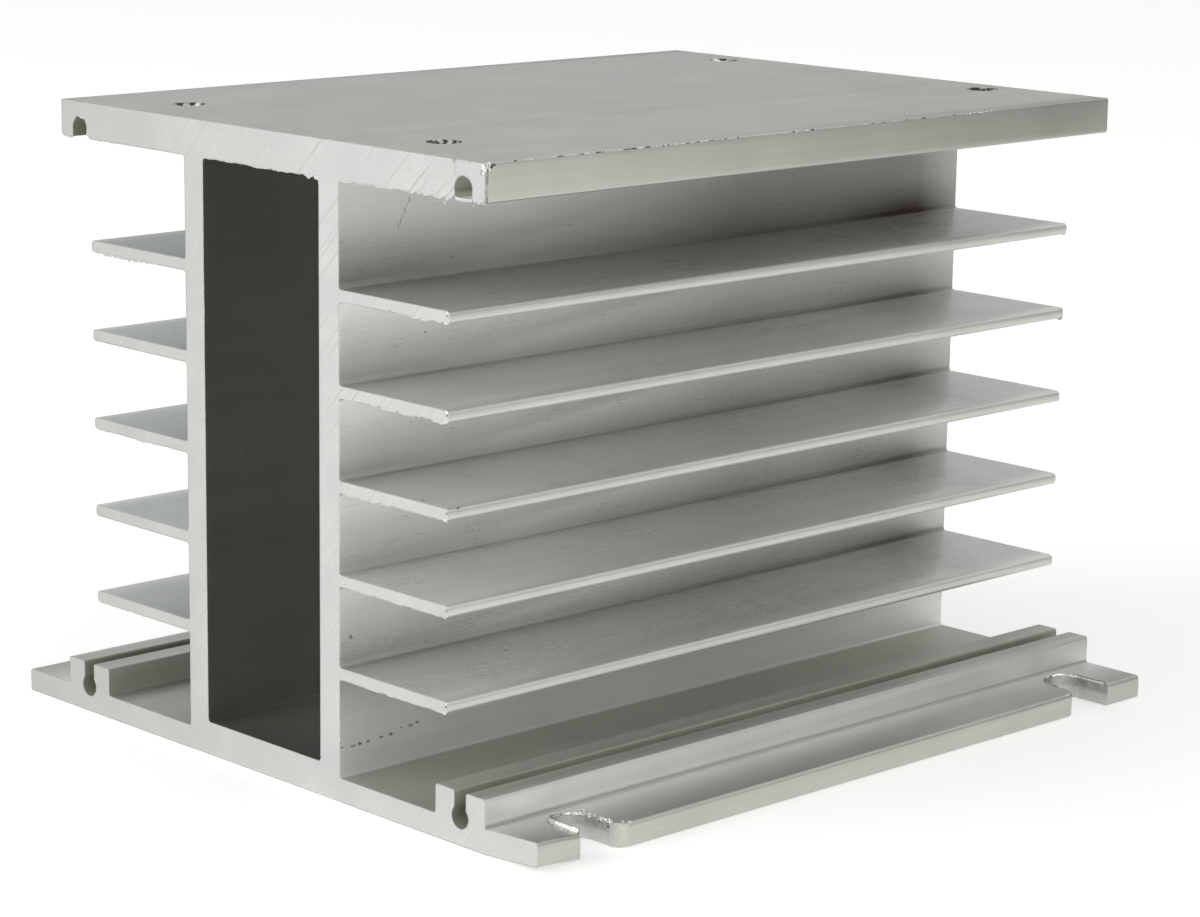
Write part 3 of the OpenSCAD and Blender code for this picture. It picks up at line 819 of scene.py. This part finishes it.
# a struck corner and scuffs: smeared metal, dull and a shade darker than the cut
blunted = torn_metal("blunted_arris_aluminium", "#7C7B74", "#A6A59E", .5, 1500)
# on the drips under the plate's front lip this darker colour is partly painted shade of their
# downward faces
scuffs_and_drip_shade = torn_metal("scuffed_aluminium_partly_shaded", "#9C9A91", "#B4B2A9", .6, 1500)
extrusion([skin, sawn, punched, threads, shaded_channel_wall, blunted, notch])
surface("saw_burrs_front", *sawn_burrs(-1, 11), sawn)
surface("saw_burrs_back", *sawn_burrs(1, 41), sawn)
surface("slot_burrs", *slot_burrs(70), bright)
surface("groove_sliver", *groove_sliver(), sawn)
surface("plate_edge_wear", *edge_wear(23), bright)
surface("tapped_threads", *tapped_threads(), threads)
surface("torn_bits", *crumbs(torn_spots(), 31), bright).data.shade_flat()
surface("nicks", *crumbs(pitted_spots(), 37), nicked).data.shade_flat()
surface("scuffs", *crumbs(scuffed_spots(), 43), scuffs_and_drip_shade).data.shade_flat()


# ---------------------------------------------------------------- floor, light, camera

def studio():
    """A pale floor, a white surround and three soft boxes. Camera and mirror rays see white."""
    world = bpy.data.worlds.new("white_surround")
    bpy.context.scene.world = world
    world.use_nodes = True
    t = world.node_tree
    t.nodes.clear()
    ray = add(t, "LightPath").outputs
    seen = add(t, "Math", {0: ray["Is Glossy Ray"], 1: ray["Is Transmission Ray"]},
               operation="MAXIMUM")
    seen = add(t, "Math", {0: ray["Is Camera Ray"], 1: seen}, operation="MAXIMUM")
    level = add(t, "MapRange", {"Value": seen, "To Min": .6, "To Max": 1.0})
    light = add(t, "Background", {"Color": (1, 1, 1, 1), "Strength": level})
    add(t, "OutputWorld", {"Surface": light})

    # the floor is lifted to white for the camera, and for mirror rays less and less to the rear
    material, t = new_material("painted_white_floor")
    ray = add(t, "LightPath").outputs
    along = add(t, "SeparateXYZ", {"Vector": add(t, "TexCoord").outputs["Object"]}).outputs["Y"]
    mirrored = add(t, "MapRange", {"Value": along, "From Min": -.06, "From Max": .33,
                                   "To Min": .80, "To Max": .18})
    shine = add(t, "Math", {0: ray["Is Glossy Ray"], 1: mirrored}, operation="MULTIPLY")
    glow = add(t, "Math", {0: ray["Is Camera Ray"], 1: .42, 2: shine},
               operation="MULTIPLY_ADD")
    paint = add(t, "BsdfDiffuse", {"Color": linear("#E9E9E7")})
    lift = add(t, "Emission", {"Color": (1, 1, 1, 1), "Strength": glow})
    add(t, "OutputMaterial", {"Surface": add(t, "AddShader", {0: paint, 1: lift})})
    size = np.linspace(-4000, 4000, 3)
    x, y = np.meshgrid(size, size, indexing="ij")
    floor = grid_mesh("floor", np.stack([x, y, 0 * x - .05], 2), grid_faces(3, 3), material)

    # a grey cove round the back, seen only by mirror rays: the dim room that the metal shows
    # just above the horizon. Its wall is an arc of angle by height.
    material, t = new_material("grey_cove")
    across = add(t, "SeparateXYZ", {"Vector": add(t, "TexCoord").outputs["Object"]}).outputs["X"]
    wall = add(t, "ValToRGB", {"Fac": add(t, "MapRange", {
        "Value": across, "From Min": -1.6, "From Max": 1.6})})
    set_stops(wall, (.14, "#ABB0B5"), (.45, "#8A8A8A"), (.60, "#747474"), (.82, "#808080"),
              (.91, "#C0C0BC"), (1.0, "#E4E4E0"))
    grey = add(t, "Emission", {"Color": wall, "Strength": 1.0})
    add(t, "OutputMaterial", {"Surface": grey})
    turn, rise = np.meshgrid(np.radians(np.linspace(-20, 200, 45)), np.linspace(0, 900, 3),
                             indexing="ij")
    arc = np.stack([1600 * np.cos(turn), 1600 * np.sin(turn), rise], 2)
    cove = grid_mesh("grey_cove", arc, grid_faces(45, 3), material)
    cove.visible_camera = cove.visible_diffuse = cove.visible_shadow = False
    cove.visible_transmission = False

    for name, at, size, power in [("key_box", (-.55, -1.15, .75), 1.0, 8.0),
                                  ("side_box", (1.2, -.4, .14), .6, 1.2),
                                  ("high_side_box", (1.1, .1, .85), .6, 1.8)]:
        data = bpy.data.lights.new(name, "AREA")
        data.size, data.energy = size, power
        lamp = put(name, data)
        back = np.array(at) - (0, 0, .04)
        back /= np.linalg.norm(back)
        right = np.cross((0, 0, 1), back)
        right /= np.linalg.norm(right)
        lamp.matrix_world = matrix(right, np.cross(back, right), back, at)


def matrix(right, up, back, at):
    """A 4 x 4 placement from its three axes and its position."""
    m = np.eye(4)
    m[:3, 0], m[:3, 1], m[:3, 2], m[:3, 3] = right, up, back, at
    return Matrix(m)


def camera():
    """A long lens at the front right corner, 12 degrees above the horizon, a hair off level."""
    turn, rise, roll = np.radians((46.1975, 12.1893, .8041))
    back = np.array([np.sin(turn) * np.cos(rise), -np.cos(turn) * np.cos(rise), np.sin(rise)])
    right = np.array([np.cos(turn), np.sin(turn), 0])
    up = np.cross(back, right)
    data = bpy.data.cameras.new("camera")
    data.lens, data.sensor_width = 103.43, 36
    data.clip_start, data.clip_end = .01, 20
    eye = put("camera", data)
    eye.matrix_world = matrix(np.cos(roll) * right + np.sin(roll) * up,
                              -np.sin(roll) * right + np.cos(roll) * up, back,
                              (.3229663, -.3079213, .1286851))
    bpy.context.scene.camera = eye


studio()
camera()
bpy.context.scene.view_settings.view_transform = "Standard"
